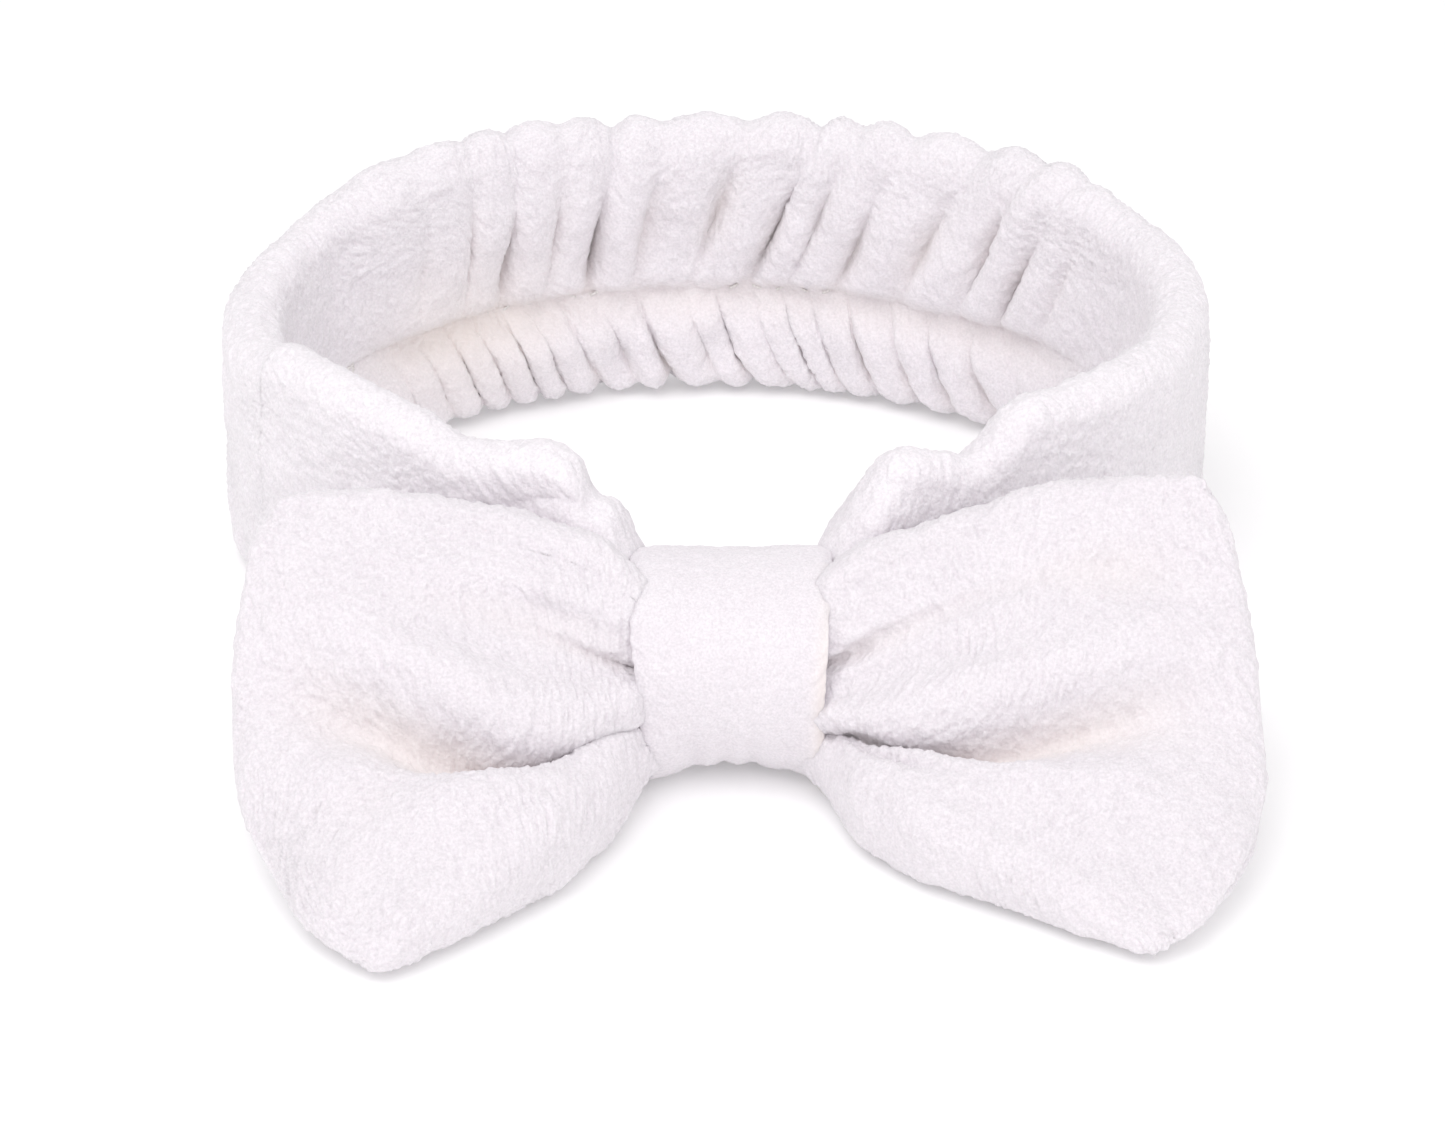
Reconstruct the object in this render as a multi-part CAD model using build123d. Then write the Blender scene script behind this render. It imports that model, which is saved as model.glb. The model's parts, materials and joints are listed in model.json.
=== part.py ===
from build123d import *
import os
from math import asin, cos, degrees, hypot, radians, sin, sqrt, tan

# A plush fleece headband that stands on its lower edge. Its head opening is centred on
# the Z axis, +Z is up, the bow is on the -Y side, and z = 0 is the surface it stands on.

# ---- Driving dimensions, mm ----

# Ring
RING_WIDTH = 184.0          # outside, from side to side
RING_DEPTH = 150.0          # outside, from front to rear
BAND_HEIGHT = 57.0
FLEECE = 4.6                # one layer of plush fleece
LAYER_GAP = 0.8             # space between the two layers of the flattened tube
EDGE_ROUND = 3.4            # rounding of the folded upper and lower edges
SIDE_ARC_START = 50.0       # degrees from front or rear where the tight side arcs begin

# Gathered rear
ROLL_DEPTH = 13.0           # each of the two puffed rolls, through the wall
ROLL_ROUND = 5.0
WAIST_DEPTH = 7.4           # between the rolls, where the elastic is stitched
WAIST_HEIGHT = 9.0
SEAM_Z = 24.0               # the stitched waist and the long seam, above the lower edge
REAR_MIDDLE_ANGLE = 22.0    # half of the middle stretch, degrees
STRETCH_GAP = 0.3           # between the middle stretch and the sides that it moves from

# Elastic strip and threads
ELASTIC_THICKNESS = 1.0
ELASTIC_HEIGHT = 20.0
ELASTIC_ROOM = 0.4          # room round the strip inside the tube
THREAD = 0.6                # how far a row of stitches stands out
SEAM_WIDTH = 1.4
TACK_WIDTH = 1.6

# Knot
KNOT_WIDTH = 33.0
KNOT_HEIGHT = 38.0
KNOT_DEPTH = 38.0
KNOT_WALL = 4.5
KNOT_CORNER = 12.0
KNOT_CENTRE_Z = 20.5
KNOT_EDGE_ROUND = 1.8
KNOT_FIT = 0.3              # between the wrap and what it squeezes
PINCH_RUN = 14.0            # over which the band narrows towards the knot

# Bow
HINGE_OUT = 7.5             # from the knot's side to the line that a wing bends about
NECK_RADIUS = 8.0           # rounded inner end of a wing
NECK_FIT = 0.3
MIDDLE_REACH = 1.2          # the gathered middle stands this far out of the knot
WING_FORWARD = 25.0         # degrees that a wing points forward of straight sideways
WING_GAP = 0.6              # between the wing's two panels
PINCH_THREAD_WIDTH = 6.0
PINCH_THREAD_DEPTH = 0.9
EDGE_SEAM_IN = 5.0          # the edge seam's distance inside the wing's outer end
EDGE_SEAM_WIDTH = 3.0

# A wing's sections: distance from the bend line, then for the top, the fold and the
# bottom of the wing its (backward, up) place and half thickness there.
WING_SECTIONS = [
    (8.0, [(2.0, 37.0, 8.0), (0.0, 21.0, 9.0), (-8.0, 7.5, 7.5)]),
    (18.0, [(9.0, 42.0, 8.0), (3.0, 23.5, 11.0), (-19.0, 9.0, 7.5)]),
    (34.0, [(18.0, 48.5, 6.5), (7.0, 26.0, 11.0), (-26.0, 9.0, 7.0)]),
    (54.0, [(29.0, 52.5, 5.0), (13.0, 28.0, 9.0), (-33.0, 8.5, 6.5)]),
    (66.0, [(22.0, 43.0, 3.0), (11.0, 26.0, 5.0), (-22.0, 9.5, 4.0)]),
]

# ---- Worked out ----

WALL = 2 * FLEECE + LAYER_GAP
MID_Z = BAND_HEIGHT / 2
JOIN = radians(SIDE_ARC_START)
# The ring is an oval of four tangent arcs: the centres of the wide front and rear arcs
# lie BIG_SHIFT either side of the middle, those of the side arcs SMALL_SHIFT.
BIG_SHIFT = (RING_WIDTH - RING_DEPTH) / 2 / (1 + tan(JOIN) - 1 / cos(JOIN))
SMALL_SHIFT = BIG_SHIFT * tan(JOIN)
BIG_RADIUS = RING_DEPTH / 2 + BIG_SHIFT - WALL / 2
SMALL_RADIUS = RING_WIDTH / 2 - SMALL_SHIFT - WALL / 2
REAR_CENTRE = (0, -BIG_SHIFT)
FRONT_CENTRE = (0, BIG_SHIFT)
SIDE_CENTRE = (SMALL_SHIFT, 0)

KNOT_HALF = KNOT_WIDTH / 2
BAND_INSIDE = BIG_RADIUS - WALL / 2
KNOT_INNER_BACK = BIG_SHIFT - sqrt(BAND_INSIDE**2 - KNOT_HALF**2) + KNOT_FIT
KNOT_BACK = KNOT_INNER_BACK + KNOT_WALL
KNOT_CENTRE_Y = KNOT_BACK - KNOT_DEPTH / 2
KNOT_INNER_HEIGHT = KNOT_HEIGHT - 2 * KNOT_WALL
SQUEEZED_HEIGHT = KNOT_INNER_HEIGHT - 2 * KNOT_FIT
PINCH_START = KNOT_HALF + KNOT_FIT + PINCH_RUN
MIDDLE_BACK = -RING_DEPTH / 2 - KNOT_FIT
MIDDLE_FRONT = KNOT_BACK - KNOT_DEPTH + KNOT_WALL + KNOT_FIT
MIDDLE_DEPTH = MIDDLE_BACK - MIDDLE_FRONT
HINGE_X = KNOT_HALF + HINGE_OUT
HINGE_Y = (MIDDLE_BACK + MIDDLE_FRONT) / 2
WING_ANGLE = radians(WING_FORWARD)
WING_FRAME = Plane(
    origin=(HINGE_X, HINGE_Y, 0),
    x_dir=(sin(WING_ANGLE), cos(WING_ANGLE), 0),
    z_dir=(cos(WING_ANGLE), -sin(WING_ANGLE), 0),
)


def along_arc(profile, centre, radius, start, end):
    """A wall section carried round an arc, from one polar angle to another."""
    section = Plane.XZ * Pos(radius, MID_Z) * profile
    piece = revolve(section, axis=Axis.Z, revolution_arc=end - start)
    return Pos(*centre, 0) * Rot(0, 0, start) * piece


def at_seam(profile):
    """A section moved from the band's mid-height to the height of its seams."""
    return Pos(0, SEAM_Z - MID_Z) * profile


def mirrored(piece):
    return mirror(piece, about=Plane.YZ)


# ---- Band ----


def smooth_profile():
    """The flattened tube: two layers of fleece, folded at the top and the bottom."""
    outside = RectangleRounded(WALL, BAND_HEIGHT, EDGE_ROUND)
    return outside - Rectangle(LAYER_GAP, BAND_HEIGHT - 2 * FLEECE)


def solid_profile():
    return RectangleRounded(WALL, BAND_HEIGHT, EDGE_ROUND)


def gathered_profile():
    """Two puffed rolls with the stitched waist between them, and room for the elastic."""
    waist_up = SEAM_Z - MID_Z
    upper = BAND_HEIGHT - SEAM_Z
    rolls = Pos(0, waist_up + upper / 2) * RectangleRounded(ROLL_DEPTH, upper, ROLL_ROUND)
    rolls += Pos(0, waist_up - SEAM_Z / 2) * RectangleRounded(ROLL_DEPTH, SEAM_Z, ROLL_ROUND)
    notch_out = (ROLL_DEPTH + WAIST_DEPTH) / 4
    notch = Rectangle((ROLL_DEPTH - WAIST_DEPTH) / 2, WAIST_HEIGHT)
    rolls -= Pos(notch_out, waist_up) * notch
    rolls -= Pos(-notch_out, waist_up) * notch
    waist = Rectangle(WAIST_DEPTH, WAIST_HEIGHT)
    room = Rectangle(ELASTIC_THICKNESS + 2 * ELASTIC_ROOM, ELASTIC_HEIGHT + 2 * ELASTIC_ROOM)
    return rolls + Pos(0, waist_up) * waist - Pos(0, waist_up) * room


def pinch_wedges():
    """What the knot squeezes away above and below the band, as seen from the front."""
    half_squeezed = SQUEEZED_HEIGHT / 2
    far = PINCH_START
    near = KNOT_HALF + KNOT_FIT
    depth = 3 * WALL
    wedges = []
    for side in (1, -1):
        edge = BAND_HEIGHT if side > 0 else 0
        beyond = edge + side * WALL
        slope = KNOT_CENTRE_Z + side * half_squeezed
        outline = Polyline(
            (-1, slope), (near, slope), (far, edge), (far, beyond), (-1, beyond), close=True
        )
        face = Plane.XZ.offset(RING_DEPTH / 2 - WALL / 2) * make_face(outline)
        wedges.append(extrude(face, amount=depth / 2, both=True))
    return wedges


def band_front():
    """The right half of the smooth front, from the rear gather to the end seam."""
    turn = 90 - SIDE_ARC_START
    hollow_end = -90 + degrees(asin(PINCH_START / BAND_INSIDE))
    side = along_arc(smooth_profile(), SIDE_CENTRE, SMALL_RADIUS, -turn, turn)
    front = along_arc(smooth_profile(), FRONT_CENTRE, BIG_RADIUS, hollow_end, -turn)
    closed = along_arc(solid_profile(), FRONT_CENTRE, BIG_RADIUS, -90, hollow_end)
    half = side + front + closed
    seam_room = Pos(0, -RING_DEPTH / 2, MID_Z) * Box(THREAD, 4 * WALL, 2 * BAND_HEIGHT)
    half = half - seam_room
    for wedge in pinch_wedges():
        half = half - wedge
    return half


def band_end_seam():
    """The row of stitches between the tube's two ends, under the knot."""
    height = SQUEEZED_HEIGHT - 2 * THREAD
    depth = WALL - 2 * THREAD
    place = Pos(0, -RING_DEPTH / 2 + WALL / 2, KNOT_CENTRE_Z)
    return place * Box(THREAD, depth, height)


def long_seam():
    """The tube's closing seam, on the inner face at mid-height: right half."""
    turn = 90 - SIDE_ARC_START
    row = at_seam(Rectangle(THREAD, SEAM_WIDTH))
    inset = (WALL + THREAD) / 2
    knot_end = -90 + degrees(asin(PINCH_START / BAND_INSIDE))
    side = along_arc(row, SIDE_CENTRE, SMALL_RADIUS - inset, -turn, turn - 4)
    front = along_arc(row, FRONT_CENTRE, BIG_RADIUS - inset, knot_end, -turn)
    return side + front


def elastic_tack():
    """The bar of stitches that holds the elastic's right end."""
    turn = 90 - SIDE_ARC_START
    bar = at_seam(Rectangle(THREAD, ELASTIC_HEIGHT))
    inset = (WALL + THREAD) / 2
    width = degrees(TACK_WIDTH / SMALL_RADIUS)
    return along_arc(bar, SIDE_CENTRE, SMALL_RADIUS - inset, turn - 1 - width, turn - 1)


def rear_arc(profile, start, end, inset=0):
    """A stretch of the rear arc, in degrees either side of straight back."""
    return along_arc(profile, REAR_CENTRE, BIG_RADIUS - inset, 90 - end, 90 - start)


def stretch_gap_angle():
    return degrees(STRETCH_GAP / BIG_RADIUS)


def band_gather():
    """The gathered stretch between the smooth side and the rear middle: right."""
    start = REAR_MIDDLE_ANGLE + stretch_gap_angle()
    return rear_arc(gathered_profile(), start, SIDE_ARC_START)


def band_rear():
    return rear_arc(gathered_profile(), -REAR_MIDDLE_ANGLE, REAR_MIDDLE_ANGLE)


def elastic_strip():
    end = SIDE_ARC_START - stretch_gap_angle()
    return rear_arc(at_seam(Rectangle(ELASTIC_THICKNESS, ELASTIC_HEIGHT)), -end, end)


def gather_stitching():
    """The row of stitches through tube and elastic, in the inner waist."""
    end = SIDE_ARC_START - stretch_gap_angle()
    inset = (WAIST_DEPTH + THREAD) / 2
    return rear_arc(at_seam(Rectangle(THREAD, SEAM_WIDTH)), -end, end, inset)


# ---- Knot ----


def knot_wrap():
    """The strip of fleece wrapped round the band and the bow's middle."""
    outside = RectangleRounded(KNOT_DEPTH, KNOT_HEIGHT, KNOT_CORNER)
    place = Pos(0, KNOT_CENTRE_Y, KNOT_CENTRE_Z)
    body = extrude(Plane.YZ * outside, amount=KNOT_HALF, both=True)
    body = fillet(body.edges().filter_by(Plane.YZ), KNOT_EDGE_ROUND)
    hollow = Box(2 * KNOT_WIDTH, KNOT_DEPTH - 2 * KNOT_WALL, KNOT_INNER_HEIGHT)
    return place * (body - hollow)


def knot_back_seam():
    """The stitches that join the strip's ends behind the band."""
    length = KNOT_WIDTH - 4 * KNOT_EDGE_ROUND
    return Pos(0, KNOT_BACK + THREAD / 2, KNOT_CENTRE_Z) * Box(length, THREAD, SEAM_WIDTH)


# ---- Bow ----


def bow_middle():
    """The gathered middle of the bow, with a rounded seat for each wing."""
    width = KNOT_WIDTH + 2 * MIDDLE_REACH
    block = Box(width, MIDDLE_DEPTH, SQUEEZED_HEIGHT)
    groove = Box(PINCH_THREAD_WIDTH, 2 * MIDDLE_DEPTH, 2 * SQUEEZED_HEIGHT)
    groove = groove - Box(
        2 * PINCH_THREAD_WIDTH,
        MIDDLE_DEPTH - 2 * PINCH_THREAD_DEPTH,
        SQUEEZED_HEIGHT - 2 * PINCH_THREAD_DEPTH,
    )
    seat = Cylinder(NECK_RADIUS + NECK_FIT, 2 * SQUEEZED_HEIGHT)
    block = block - groove - Pos(HINGE_X, 0) * seat - Pos(-HINGE_X, 0) * seat
    return Pos(0, HINGE_Y, KNOT_CENTRE_Z) * block


def bow_pinch_thread():
    """The thread wound round the bow's middle, in its groove."""
    turns = Box(PINCH_THREAD_WIDTH, MIDDLE_DEPTH, SQUEEZED_HEIGHT)
    inside = Box(
        2 * PINCH_THREAD_WIDTH,
        MIDDLE_DEPTH - 2 * PINCH_THREAD_DEPTH,
        SQUEEZED_HEIGHT - 2 * PINCH_THREAD_DEPTH,
    )
    return Pos(0, HINGE_Y, KNOT_CENTRE_Z) * (turns - inside)


def side_points(spine, side, inner):
    """The spine moved sideways to a panel's inner or outer face."""
    moved = []
    for index, (back, up, half) in enumerate(spine):
        before = spine[max(index - 1, 0)]
        after = spine[min(index + 1, len(spine) - 1)]
        run = (after[0] - before[0], after[1] - before[1])
        length = hypot(*run)
        normal = (run[1] / length, -run[0] / length)
        offset = side * (WING_GAP / 2 if inner else half)
        moved.append((back + offset * normal[0], up + offset * normal[1]))
    return moved


def panel_section(distance, spine, side):
    """One panel's section across the wing. side is 1 in front and -1 behind."""
    inner = side_points(spine, side, True)
    outer = side_points(spine, side, False)
    edges = [
        Spline(*inner),
        Line(inner[-1], outer[-1]),
        Spline(*reversed(outer)),
        Line(outer[0], inner[0]),
    ]
    return WING_FRAME * Pos(0, 0, distance) * make_face(edges)


def neck_spine():
    """The wing's straight inner end, as tall as the bow's middle."""
    half = SQUEEZED_HEIGHT / 2
    return [
        (0.0, KNOT_CENTRE_Z + half, NECK_RADIUS),
        (0.0, KNOT_CENTRE_Z, NECK_RADIUS),
        (0.0, KNOT_CENTRE_Z - half, NECK_RADIUS),
    ]


def wing_panel(side):
    """The right wing's front (side 1) or back (side -1) panel."""
    sections = [panel_section(0, neck_spine(), side)]
    sections += [panel_section(distance, spine, side) for distance, spine in WING_SECTIONS]
    sheet = loft(sections, ruled=True)
    disc = Cylinder(NECK_RADIUS, SQUEEZED_HEIGHT)
    reach = 2 * NECK_RADIUS
    keep = Box(reach, reach, 2 * SQUEEZED_HEIGHT)
    turn = Rot(0, 0, -WING_FORWARD)
    shift = Pos(-reach / 2, -side * (reach / 2 + WING_GAP / 2))
    end = disc & (turn * shift * keep)
    return sheet + Pos(HINGE_X, HINGE_Y, KNOT_CENTRE_Z) * end


def wing_edge_seam():
    """The stitched seam between the panels, inside the wing's outer end."""
    faces = []
    for distance, spine in WING_SECTIONS[-2:]:
        front = side_points(spine, 1, True)
        back = side_points(spine, -1, True)
        edges = [
            Spline(*front),
            Line(front[-1], back[-1]),
            Spline(*reversed(back)),
            Line(back[0], front[0]),
        ]
        faces.append(WING_FRAME * Pos(0, 0, distance) * make_face(edges))
    between = loft(faces, ruled=True)
    middle = WING_SECTIONS[-1][0] - EDGE_SEAM_IN - EDGE_SEAM_WIDTH / 2
    slab = Box(2 * RING_WIDTH, 2 * RING_WIDTH, EDGE_SEAM_WIDTH)
    return between & (WING_FRAME * Pos(0, 0, middle) * slab)


def build():
    """Every piece by its name."""
    right = {
        "band_front": band_front(),
        "long_seam": long_seam(),
        "elastic_tack": elastic_tack(),
        "band_gather": band_gather(),
        "bow_front_panel": wing_panel(1),
        "bow_back_panel": wing_panel(-1),
        "bow_edge_seam": wing_edge_seam(),
    }
    pieces = {
        "band_end_seam": band_end_seam(),
        "band_rear": band_rear(),
        "elastic_strip": elastic_strip(),
        "gather_stitching": gather_stitching(),
        "knot_wrap": knot_wrap(),
        "knot_back_seam": knot_back_seam(),
        "bow_middle": bow_middle(),
        "bow_pinch_thread": bow_pinch_thread(),
    }
    for name, piece in right.items():
        pieces[name + "_right"] = piece
        pieces[name + "_left"] = mirrored(piece)
    return pieces


os.makedirs("parts", exist_ok=True)
for node, solid in build().items():
    export_step(solid, f"parts/{node}.step")
    box = solid.bounding_box()
    print(node, len(solid.solids()), round(solid.volume), box.min, box.max)
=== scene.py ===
import json
import math

import bmesh
import bpy
import numpy as np
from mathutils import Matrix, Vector


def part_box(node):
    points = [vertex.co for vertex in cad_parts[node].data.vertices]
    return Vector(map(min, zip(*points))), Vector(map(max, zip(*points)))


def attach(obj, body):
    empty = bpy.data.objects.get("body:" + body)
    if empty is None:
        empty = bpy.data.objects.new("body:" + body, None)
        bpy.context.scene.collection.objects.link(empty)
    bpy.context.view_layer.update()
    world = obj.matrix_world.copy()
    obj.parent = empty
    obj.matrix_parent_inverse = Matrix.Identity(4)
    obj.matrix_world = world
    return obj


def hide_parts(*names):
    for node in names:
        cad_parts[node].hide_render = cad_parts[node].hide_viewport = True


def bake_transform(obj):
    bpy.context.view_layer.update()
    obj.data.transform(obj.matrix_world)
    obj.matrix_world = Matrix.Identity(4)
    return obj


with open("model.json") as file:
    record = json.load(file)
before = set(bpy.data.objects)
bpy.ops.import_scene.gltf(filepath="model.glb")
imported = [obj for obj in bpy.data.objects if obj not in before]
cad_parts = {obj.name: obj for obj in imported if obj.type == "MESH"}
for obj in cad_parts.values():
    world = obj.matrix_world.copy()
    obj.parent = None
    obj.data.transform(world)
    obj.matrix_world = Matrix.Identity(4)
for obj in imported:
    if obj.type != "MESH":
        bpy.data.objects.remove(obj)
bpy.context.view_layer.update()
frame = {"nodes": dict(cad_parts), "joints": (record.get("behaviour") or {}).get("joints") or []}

MM = 0.001

# ---- What the frame says ----


def corners(node):
    """A node's lowest and highest corners at rest, metres."""
    low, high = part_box(node)
    return np.array(low), np.array(high)


FRONT_LOW, FRONT_HIGH = corners("band_front_right")
KNOT_LOW, KNOT_HIGH = corners("knot_wrap")
SEAM_LOW, SEAM_HIGH = corners("gather_stitching")
JOINTS = {joint["name"]: joint for joint in frame["joints"]}

HALF_WIDTH = FRONT_HIGH[0]
HALF_DEPTH = -FRONT_LOW[1]
BAND_HEIGHT = FRONT_HIGH[2]
SEAM_Z = (SEAM_LOW[2] + SEAM_HIGH[2]) / 2
KNOT_MIDDLE = (KNOT_LOW + KNOT_HIGH) / 2
KNOT_SIZE = KNOT_HIGH - KNOT_LOW

# ---- Sizes of the cloth, metres ----

WALL = 10 * MM              # two layers of fleece
SIDE_START = math.radians(50)   # from front or rear, where the tight side arcs begin
PILE = 0.48 * MM            # how far the tufts stand out
WRAP = 4.5 * MM             # thickness of the knot's strip
BOW_SHIFT = 2.4 * MM        # the bow was sewn a little right of the middle
WAIST_Y = corners("bow_middle")[0][1] + 10 * MM   # middle of the bow's pinched waist
ABOVE_TABLE = 0.15 * MM     # no point of the cloth goes lower
FAR = 200 * MM              # farther than the knot's pinch reaches
SWEEP = math.radians(25)    # how far the wings stand forward of the knot's sides
THREAD_RADIUS = 0.3 * MM


# ---- Noise and curves ----


def lattice(cells, seed):
    """A steady random number from 0 to 1 for each whole-numbered cell."""
    mixed = cells[..., 0] * 374761393 + cells[..., 1] * 668265263
    mixed = mixed + cells[..., 2] * 2147483647 + seed * 144665
    mixed = (mixed ^ (mixed >> 13)) * 1274126177
    mixed = mixed ^ (mixed >> 16)
    return (mixed & 0xFFFFFF) / 0xFFFFFF


def noise(points, size, seed):
    """Smooth noise from -1 to 1, whose lumps are about size across."""
    scaled = points / size + 1000.5
    cell = np.floor(scaled).astype(np.int64)
    part = scaled - cell
    part = part * part * (3 - 2 * part)
    total = np.zeros(points.shape[:-1])
    for corner in np.ndindex(2, 2, 2):
        step = np.array(corner)
        weight = np.prod(np.where(step, part, 1 - part), axis=-1)
        total += weight * lattice(cell + step, seed)
    return total * 2 - 1


def smooth(low, high, value):
    """An eased step from 0 at low to 1 at high."""
    part = np.clip((value - low) / (high - low), 0, 1)
    return part * part * (3 - 2 * part)


def curve_weights(part):
    """How much a curve's start, its slope, its end and its slope there count."""
    return (
        (1 + 2 * part) * (1 - part) ** 2,
        part * (1 - part) ** 2,
        part * part * (3 - 2 * part),
        part * part * (part - 1),
    )


def through(places, values, at):
    """A smooth curve through given values, without overshoot at its ends."""
    places = np.asarray(places, float)
    values = np.asarray(values, float)
    slopes = np.gradient(values, places, axis=0)
    index = np.clip(np.searchsorted(places, at) - 1, 0, len(places) - 2)
    width = places[index + 1] - places[index]
    a, b, c, d = curve_weights(np.clip((at - places[index]) / width, 0, 1))
    return (
        a * values[index]
        + b * width * slopes[index]
        + c * values[index + 1]
        + d * width * slopes[index + 1]
    )


def bump(value, centre, width):
    """A bell that is 1 at centre and fades over width."""
    return np.exp(-(((value - centre) / width) ** 2))


# ---- Meshes from grids ----


def grid_normals(points, wrap_first):
    """Unit normals of a grid that closes on itself along its second direction."""
    if wrap_first:
        along = np.roll(points, -1, 0) - np.roll(points, 1, 0)
    else:
        along = np.gradient(points, axis=0)
    across = np.roll(points, -1, 1) - np.roll(points, 1, 1)
    normal = np.cross(along, across)
    length = np.linalg.norm(normal, axis=-1, keepdims=True)
    return normal / np.maximum(length, 1e-12)


NAP = np.array([0.18, -0.52, -0.83])   # the pile is brushed down and forwards


def piled(points, wrap_first, outward, seed, depth=PILE):
    """The grid with the fleece's tufts raised from its surface, brushed one way."""
    normal = grid_normals(points, wrap_first) * outward
    swirl = noise(points, 24 * MM, seed + 3)[..., None] * np.array([0.5, 0.2, 0.0])
    nap = NAP + swirl
    nap = nap / np.linalg.norm(nap, axis=-1, keepdims=True)
    drawn = points - 0.62 * (points * nap).sum(-1, keepdims=True) * nap
    tufts = noise(drawn, 0.95 * MM, seed) * 0.7 + noise(drawn, 0.55 * MM, seed + 1) * 0.35
    clumps = noise(points, 3.2 * MM, seed + 2)
    height = depth * (tufts + 0.5 * clumps)
    return points + normal * height[..., None]


def rested(points):
    """Rounds the underside off softly where it lies on the table."""
    low, rest, soft = points[..., 2], 0.4 * MM, 2.5 * MM
    pressed = rest + soft * np.exp(np.minimum(low - rest - soft, 0) / soft)
    points[..., 2] = np.where(low < rest + soft, pressed, low)
    return points


def grid_object(name, points, wrap_first, painted_shade=None, flip=False):
    """A mesh object from a grid that is closed across, and closed or capped along."""
    rows, columns = points.shape[:2]
    index = np.arange(rows * columns).reshape(rows, columns)
    if wrap_first:
        first, second = index, np.roll(index, -1, 0)
    else:
        first, second = index[:-1], index[1:]
    quads = np.stack(
        [first, np.roll(first, -1, 1), np.roll(second, -1, 1), second], axis=-1
    ).reshape(-1, 4)
    if flip:
        quads = quads[:, ::-1]
    mesh = bpy.data.meshes.new(name)
    verts = points.reshape(-1, 3)
    mesh.vertices.add(len(verts))
    mesh.vertices.foreach_set("co", verts.ravel())
    mesh.loops.add(quads.size)
    mesh.loops.foreach_set("vertex_index", quads.ravel())
    mesh.polygons.add(len(quads))
    mesh.polygons.foreach_set("loop_start", np.arange(len(quads)) * 4)
    mesh.polygons.foreach_set("loop_total", np.full(len(quads), 4))
    mesh.update(calc_edges=True)
    # Painted shade for the fleece: a point attribute of how much cream to mix into the colour.
    if painted_shade is not None:
        layer = mesh.attributes.new("painted_shade", "FLOAT", "POINT")
        layer.data.foreach_set("value", painted_shade.ravel().astype(np.float32))
    piece = bpy.data.objects.new(name, mesh)
    bpy.context.collection.objects.link(piece)
    if not wrap_first:
        close_ends(mesh)
    mesh.validate()
    mesh.polygons.foreach_set("use_smooth", np.ones(len(mesh.polygons), dtype=bool))
    return piece


def close_ends(mesh):
    """Joins points that meet at the outer edge, and caps the open inner end."""
    work = bmesh.new()
    work.from_mesh(mesh)
    bmesh.ops.remove_doubles(work, verts=work.verts, dist=0.001 * MM)
    open_edges = [edge for edge in work.edges if edge.is_boundary]
    if open_edges:
        bmesh.ops.holes_fill(work, edges=open_edges, sides=0)
    bmesh.ops.recalc_face_normals(work, faces=work.faces)
    work.to_mesh(mesh)
    work.free()


# ---- Materials ----


def node_tree(name):
    """A new node material, its nodes, its links and its shader."""
    material = bpy.data.materials.new(name)
    material.use_nodes = True
    nodes = material.node_tree.nodes
    return material, nodes, material.node_tree.links, nodes["Principled BSDF"]


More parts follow.
